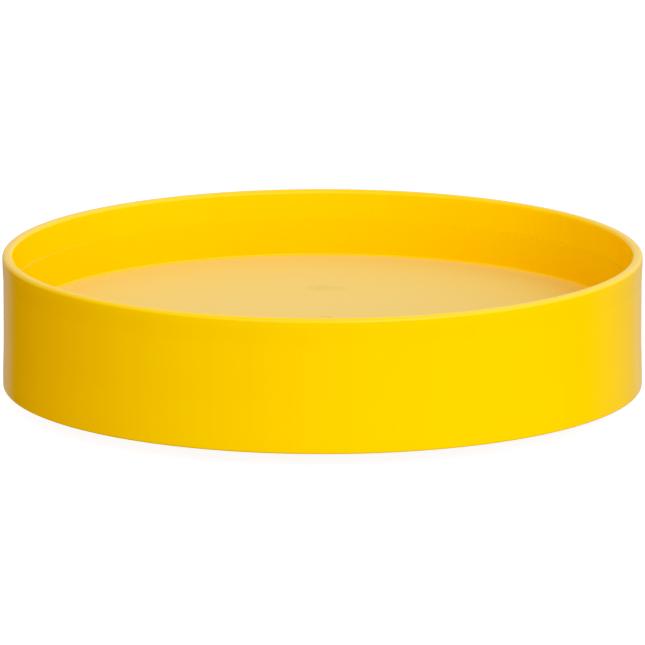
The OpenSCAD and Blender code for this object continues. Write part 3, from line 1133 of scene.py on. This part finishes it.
@dataclass
class Fork:
    """The fork: a channel pressed from one sheet, with a round crown."""

    bend_r: float = 4 * MM
    front_y: float = -13 * MM
    back_y: float = 15 * MM
    play: float = 0.6 * MM
    axle_hole_r: float = 3.1 * MM
    swage_r: float = 2.2 * MM
    swage_depth: float = 0.6 * MM
    far: float = 50 * MM
    head: Optional[SwivelHead] = None

    def __post_init__(self) -> None:
        """Reads the fork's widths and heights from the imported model."""
        self.head = self.head or SwivelHead()
        swivel, roll = joint_place("swivel_1"), joint_place("roll_1")
        self.leg_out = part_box("axle_nut_1")[0][0] - swivel.x
        self.leg_in = half_size("axle_sleeve_1", 0)
        self.crown_r = half_size("fork_1", 0)
        self.low_z, self.top_z = heights("fork_1")
        self.sheet = self.leg_out - self.leg_in
        self.axle = Vector((roll.y - swivel.y, roll.z))
        self.end_r = self.axle.y - self.low_z

    def channel(self) -> Solid:
        """The pressed channel, long enough to be trimmed."""
        under = self.top_z - self.sheet
        low = self.low_z - MM
        outline = rounded([
            Corner(-self.leg_out, low), Corner(-self.leg_out, self.top_z, self.bend_r),
            Corner(self.leg_out, self.top_z, self.bend_r), Corner(self.leg_out, low),
            Corner(self.leg_in, low), Corner(self.leg_in, under, self.bend_r - self.sheet),
            Corner(-self.leg_in, under, self.bend_r - self.sheet), Corner(-self.leg_in, low),
        ])
        return Solid.prism(outline, -self.far, self.far).spun(90, "X")

    def side(self) -> Solid:
        """The legs' side outline: narrowing from the crown to a round end about the axle."""
        top = self.top_z + MM
        front, back = Vector((self.front_y, top)), Vector((self.back_y, top))

        def touch(point: Vector, side: int) -> float:
            """The angle at which a line from a point touches the leg's round end."""
            away = point - self.axle
            return math.atan2(away.y, away.x) + side * math.acos(self.end_r / away.length)

        first, last = touch(back, -1), touch(front, 1) - 2 * math.pi
        steps = 20
        turns = [first + (last - first) * k / steps for k in range(steps + 1)]
        around = [self.axle + self.end_r * Vector((math.cos(t), math.sin(t))) for t in turns]
        outline = [tuple(point) for point in (front, back, *around)]
        return Solid.prism(outline, -self.far, self.far).laid_along_x()

    def swages(self) -> Solid:
        """The round-bottomed grooves that stiffen the legs, one on each."""
        start = Vector((self.axle.x * 0.82, self.axle.y + 11 * MM))
        end = Vector((4 * MM, self.top_z - 9 * MM))
        length, lean = (end - start).length, math.atan2((end - start).y, (end - start).x)
        pill = Solid.turned(rounded([
            Corner(0, -self.swage_r), Corner(self.swage_r, -self.swage_r, 0.99 * self.swage_r),
            Corner(self.swage_r, length + self.swage_r, 0.99 * self.swage_r),
            Corner(0, length + self.swage_r),
        ], closed=False), 32)
        laid = pill.spun(math.degrees(lean) - 90, "X")
        out = self.leg_out + self.swage_r - self.swage_depth
        return Solid.group(laid.shifted(s * out, start.x, start.y) for s in (-1, 1))

    def build(self) -> None:
        """Presses the fork and shows it at every caster."""
        under = self.top_z - self.sheet
        crown = Solid.turned(rounded([
            Corner(0, under), Corner(self.crown_r, under, 0.5 * MM),
            Corner(self.crown_r, self.top_z, 0.5 * MM), Corner(0, self.top_z),
        ], closed=False), 96)
        pin_hole = Solid.rod(self.head.pin_r + self.play, under - MM, self.top_z + MM)
        axle_hole = Solid.rod(self.axle_hole_r, -self.far, self.far).laid_along_x()
        axle_hole = axle_hole.shifted(0, self.axle.x, self.axle.y)
        legs = self.channel().mixed(Mix.COMMON, self.side())
        grooves = (self.head.groove(True), self.head.groove(False))
        fork = legs.mixed(Mix.JOIN, crown).mixed(Mix.CUT, pin_hole, axle_hole, *grooves, self.swages())
        fork = fork.softened(0.25 * MM, 50.0)
        show_on_casters(CasterPiece("fork", fork, (ZINC,)))


@dataclass
class Axle:
    """The axle bolt, its locking nut and the sleeve that the hub turns on."""

    head_h: float = 4 * MM
    bore_r: float = 3.05 * MM
    sleeve_bore_r: float = 3.1 * MM
    thread_len: float = 11 * MM
    nut_hex_h: float = 4.3 * MM
    collar_r: float = 4.45 * MM
    nylon_r: float = 3.7 * MM
    thread: Thread = Thread()
    head: HexHead = HexHead()

    def __post_init__(self) -> None:
        """Reads the axle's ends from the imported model."""
        swivel = joint_place("swivel_1")
        self.where = joint_place("roll_1") - Vector((swivel.x, swivel.y, 0))
        self.bolt = [corner[0] - swivel.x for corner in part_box("axle_bolt_1")]
        self.nut = [corner[0] - swivel.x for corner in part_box("axle_nut_1")]
        self.sleeve_half = half_size("axle_sleeve_1", 0)
        self.sleeve_r = half_size("axle_sleeve_1", 2)

    def on_axle(self, solid: Solid) -> Solid:
        """A solid that stands along Z, laid along the axle with a flat of its hexagon to the front."""
        return solid.spun(90).laid_along_x().shifted(0, self.where.y, self.where.z)

    def bolt_solid(self) -> Solid:
        """The bolt, with its head at -X."""
        head = self.head.solid(self.head_h).shifted(z=self.bolt[0])
        plain = Solid.rod(self.thread.radius, self.bolt[0] + self.head_h / 2, self.bolt[1] - self.thread_len)
        tip = self.thread.rod(self.bolt[1] - self.thread_len - 0.2 * MM, self.bolt[1])
        return head.mixed(Mix.JOIN, plain, tip)

    def nut_solid(self) -> Solid:
        """The locking nut: a chamfered hexagon, a turned collar, and a nylon ring in it."""
        low, high = self.nut
        hexagonal = self.head.solid(self.nut_hex_h, both=True).shifted(z=low)
        collar = Solid.turned(rounded([
            Corner(0, low + MM), Corner(self.collar_r, low + MM),
            Corner(self.collar_r, high - 0.2 * MM, 1 * MM),
            Corner(self.nylon_r, high - 0.2 * MM, 0.2 * MM), Corner(self.nylon_r, high - 0.6 * MM),
            Corner(0, high - 0.6 * MM),
        ], closed=False), 64)
        bore = Solid.rod(self.bore_r, low - MM, high + MM)
        return hexagonal.mixed(Mix.JOIN, collar).mixed(Mix.CUT, bore)

    def nylon_solid(self) -> Solid:
        """The nylon ring, which is let into the collar."""
        high = self.nut[1]
        return Solid.turned(rounded([
            Corner(self.bore_r, high - 0.6 * MM), Corner(self.nylon_r, high - 0.6 * MM),
            Corner(self.nylon_r, high, 0.3 * MM), Corner(self.bore_r, high, 0.3 * MM),
        ]), 48)

    def sleeve_solid(self) -> Solid:
        """The turned sleeve."""
        low = -self.sleeve_half
        return Solid.turned(mirrored([
            Corner(self.sleeve_bore_r, low, 0.3 * MM), Corner(self.sleeve_r, low, 0.4 * MM),
        ]), 64)

    def build(self) -> None:
        """Makes the axle's pieces and shows them at every caster."""
        steel, nylon = self.on_axle(self.nut_solid()), self.on_axle(self.nylon_solid())
        steel_faces = len(steel.mesh.polygons)

        def in_nylon(face: bpy.types.MeshPolygon) -> bool:
            """Whether a face of the nut is part of its nylon ring."""
            return face.index >= steel_faces

        show_on_casters(
            CasterPiece("axle_bolt", self.on_axle(self.bolt_solid()), (ZINC,)),
            CasterPiece("axle_sleeve", self.on_axle(self.sleeve_solid()), (AXLE_STEEL,)),
            CasterPiece("axle_nut", Solid.group([steel, nylon]), (ZINC, NYLON), in_nylon),
        )


@dataclass
class Wheel:
    """A wheel: a ribbed plastic hub and the tread bonded round it."""

    bore_r: float = 5.05 * MM
    boss_r: float = 9 * MM
    web: float = 5 * MM
    rim_t: float = 3.5 * MM
    rim_setback: float = 0.5 * MM
    rib_setback: float = 2 * MM
    rib_t: float = 2 * MM
    rib_round: float = 0.5 * MM
    ribs: int = 8
    shoulder: float = 3 * MM
    groove_at: float = 5 * MM
    groove_w: float = 1.2 * MM
    groove_depth: float = 0.6 * MM

    def __post_init__(self) -> None:
        """Reads the wheel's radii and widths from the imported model."""
        swivel = joint_place("swivel_1")
        self.where = joint_place("roll_1") - Vector((swivel.x, swivel.y, 0))
        self.radius = self.where.z
        self.half = half_size("tread_1", 0)
        self.hub_r = half_size("wheel_hub_1", 2)
        self.boss_half = half_size("wheel_hub_1", 0)

    def hub(self) -> Solid:
        """The hub: boss, web, rim and ribs."""
        rim_half, web, rim_in = self.half - self.rim_setback, self.web / 2, self.hub_r - self.rim_t
        side = [
            Corner(self.bore_r, self.boss_half, 0.4 * MM), Corner(self.boss_r, self.boss_half, 0.6 * MM),
            Corner(self.boss_r, web, 1.2 * MM), Corner(rim_in, web, 1.2 * MM),
            Corner(rim_in, rim_half, 0.5 * MM), Corner(self.hub_r, rim_half, 0.2 * MM),
        ]
        body = Solid.turned(mirrored(side), 96)
        tall, half = rim_half - self.rib_setback, self.rib_t / 2
        ways = ((-1, -1), (1, -1), (1, 1), (-1, 1))
        section = rounded([Corner(a * half, b * tall, self.rib_round) for a, b in ways], step=30.0)
        turns = [360 * k / self.ribs for k in range(self.ribs)]
        spokes = [bar(section, self.boss_r - MM, rim_in + MM, turn) for turn in turns]
        return body.mixed(Mix.JOIN, *spokes)

    def tread(self) -> Solid:
        """The tread, with rounded shoulders and two shallow grooves."""
        r, half, deep = self.radius, self.half, self.radius - self.groove_depth
        near, far = self.groove_at - self.groove_w / 2, self.groove_at + self.groove_w / 2
        side = [
            Corner(r, near, 0.2 * MM), Corner(deep, near, 0.2 * MM), Corner(deep, far, 0.2 * MM),
            Corner(r, far, 0.2 * MM), Corner(r, half, self.shoulder), Corner(self.hub_r, half, 0.3 * MM),
        ]
        return Solid.turned(mirrored(side), 128)

    def build(self) -> None:
        """Makes the hub and the tread and shows them at every caster."""
        def place(i: int) -> Matrix:
            """Moves a wheel's shape from the origin to caster i's axle."""
            return caster_place(i) @ Matrix.Translation(self.where)

        show_on_casters(
            CasterPiece("wheel_hub", self.hub().laid_along_x(), (HUB_BLACK,), place=place),
            CasterPiece("tread", self.tread().laid_along_x(), (TREAD,), place=place),
        )


# The studio


class Side(Enum):
    """Which way something stands from the tray, in degrees from the camera's side towards the right."""

    KEY = 26.0
    SCREEN = -147.0


def towards(side: Side, elevation: float = 0.0) -> Vector:
    """The direction of a side, raised above the horizon by an elevation in degrees."""
    turn, rise = math.radians(side.value), math.radians(elevation)
    return Vector((math.sin(turn) * math.cos(rise), -math.cos(turn) * math.cos(rise), math.sin(rise)))


@dataclass
class Room:
    """The light that comes from all round: bright above the horizon, dim below it and straight overhead.

    It is brighter on the right and in front. A narrow dark screen stands at one side, and a pale panel
    stands low behind the tray.
    """

    below: float = 0.41
    horizon: float = 1.22
    above: float = 1.43
    brighter_right: float = 0.36
    brighter_front: float = 0.4
    panel: float = 0.2
    panel_from: float = 0.87
    panel_width: float = 0.05
    horizon_width: float = 0.08
    above_from: float = 0.45
    above_width: float = 0.5
    overhead: float = 0.45
    overhead_from: float = 0.9
    overhead_width: float = 0.1
    screen_width: float = 0.045
    screen_share: float = 0.6

    def glow(self, recipe: Recipe) -> Signal:
        """How bright the room is in each direction."""
        direction = recipe.node("ShaderNodeTexCoord", {}, {}, "Generated")
        x, y, up = recipe.axes(direction)
        lit = self.below + (self.horizon - self.below) * up.over(0.0, self.horizon_width)
        lit = lit - (self.horizon - self.above) * up.over(self.above_from, self.above_width)
        lit = lit - self.overhead * self.above * up.over(self.overhead_from, self.overhead_width)
        way = towards(Side.SCREEN)
        across = abs(x * way.y - y * way.x) / self.screen_width
        ahead = (x * way.x + y * way.y).over(0.1, 0.1)
        screen = (1.0 - across).limited() * ahead
        lean = 1.0 + self.brighter_right * x - self.brighter_front * y
        low_down = 1.0 - up.over(0.0, self.horizon_width)
        panel = self.panel * y.over(self.panel_from, self.panel_width) * low_down
        return (lit * lean + panel) * (1.0 - self.screen_share * screen)

    def build(self) -> None:
        """Sets the room's light as the world."""
        world = bpy.data.worlds.new("room")
        bpy.context.scene.world = world
        world.use_nodes = True
        recipe = Recipe(world.node_tree)
        sockets = {"Color": (1.0, 1.0, 1.0, 1.0), "Strength": self.glow(recipe)}
        light = recipe.node("ShaderNodeBackground", {}, sockets)
        recipe.node("ShaderNodeOutputWorld", {}, {"Surface": light})


@dataclass
class Studio:
    """A pale floor, soft light and the camera."""

    floor_r: float = 40.0
    floor_colour: Colour = (0.4, 0.4, 0.4)
    floor_glow: float = 1.12
    key_size: float = 2.2
    key_distance: float = 3.6
    key_elevation: float = 20.0
    key_power: float = 63.0
    elevation: float = 12.25
    distance: float = 9.45
    aim_z: float = 0.0757
    view_width: float = 0.6355
    sensor: float = 36.0
    blue_floor: float = 0.04
    white: float = 1.3
    soft_whites: tuple[Point, ...] = ((0.3, 0.3), (0.67, 0.65), (0.87, 0.776), (1.05, 0.871))

    def floor(self) -> None:
        """The pale floor: its glow keeps shadows faint, and it is clear when seen from below."""
        bm = bmesh.new()
        bmesh.ops.create_circle(bm, cap_ends=True, segments=96, radius=self.floor_r)
        mesh = bpy.data.meshes.new("floor")
        bm.to_mesh(mesh)
        bm.free()
        material = bpy.data.materials.new("pale_floor")
        material.use_nodes = True
        recipe = Recipe(material.node_tree)
        cloud = recipe.noise(1.5, 2.0)
        shader = recipe.node("ShaderNodeBsdfPrincipled", {}, {
            "Base Color": recipe.tint(cloud, shade(0.95, self.floor_colour), self.floor_colour),
            "Roughness": 0.9,
            "Specular IOR Level": 0.0,
            "Emission Color": (1.0, 1.0, 1.0, 1.0),
            "Emission Strength": self.floor_glow,
        })
        under = recipe.node("ShaderNodeNewGeometry", {}, {}, "Backfacing")
        clear = recipe.node("ShaderNodeBsdfTransparent", {}, {})
        sided = recipe.node("ShaderNodeMixShader", {}, {0: under, 1: shader, 2: clear})
        recipe.node("ShaderNodeOutputMaterial", {}, {"Surface": sided})
        mesh.materials.append(material)
        floor = bpy.data.objects.new("floor", mesh)
        floor.visible_diffuse = False
        floor.visible_glossy = False
        bpy.context.scene.collection.objects.link(floor)

    def key(self) -> None:
        """A large soft lamp in front of the tray, to the right."""
        away = towards(Side.KEY, self.key_elevation)
        data = bpy.data.lights.new("key_lamp", "AREA")
        data.shape = "SQUARE"
        data.size, data.energy = self.key_size, self.key_power
        lamp = bpy.data.objects.new("key_lamp", data)
        lamp.location = away * self.key_distance
        lamp.rotation_euler = (-away).to_track_quat("-Z", "Y").to_euler()
        lamp.visible_camera = False
        lamp.visible_glossy = False
        bpy.context.scene.collection.objects.link(lamp)

    def camera(self) -> None:
        """The camera: far off, a little above the tray."""
        rise = math.radians(self.elevation)
        back = Vector((0, -math.cos(rise), math.sin(rise)))
        data = bpy.data.cameras.new("camera")
        data.sensor_width = self.sensor
        data.lens = self.sensor * self.distance / self.view_width
        data.clip_end = 10 * self.distance
        camera = bpy.data.objects.new("camera", data)
        camera.location = Vector((0, 0, self.aim_z)) + back * self.distance
        camera.rotation_euler = (-back).to_track_quat("-Z", "Y").to_euler()
        bpy.context.scene.collection.objects.link(camera)
        bpy.context.scene.camera = camera

    def tones(self) -> None:
        """Shows the colours as they are, with softly rolled-off whites and slightly deeper blues."""
        view = bpy.context.scene.view_settings
        view.view_transform = "Standard"
        view.use_curve_mapping = True
        mapping = view.curve_mapping
        mapping.black_level = (0.0, 0.0, self.blue_floor)
        mapping.white_level = (self.white, self.white, self.white)
        for light, shown in self.soft_whites:
            mapping.curves[3].points.new(light / self.white, shown)
        mapping.update()

    def build(self) -> None:
        """Sets up the studio."""
        self.floor()
        Room().build()
        self.key()
        self.camera()
        self.tones()


def main() -> None:
    """Builds the dolly's pieces and the studio, in order."""
    logging.basicConfig(level=logging.INFO, format="%(message)s")
    for assembly in (Studio(), Tray(), Inserts(), MountingScrews(), SwivelHead(), Fork(), Axle(), Wheel()):
        log.info("building %s", type(assembly).__name__)
        assembly.build()


if __name__ == "__main__":
    main()
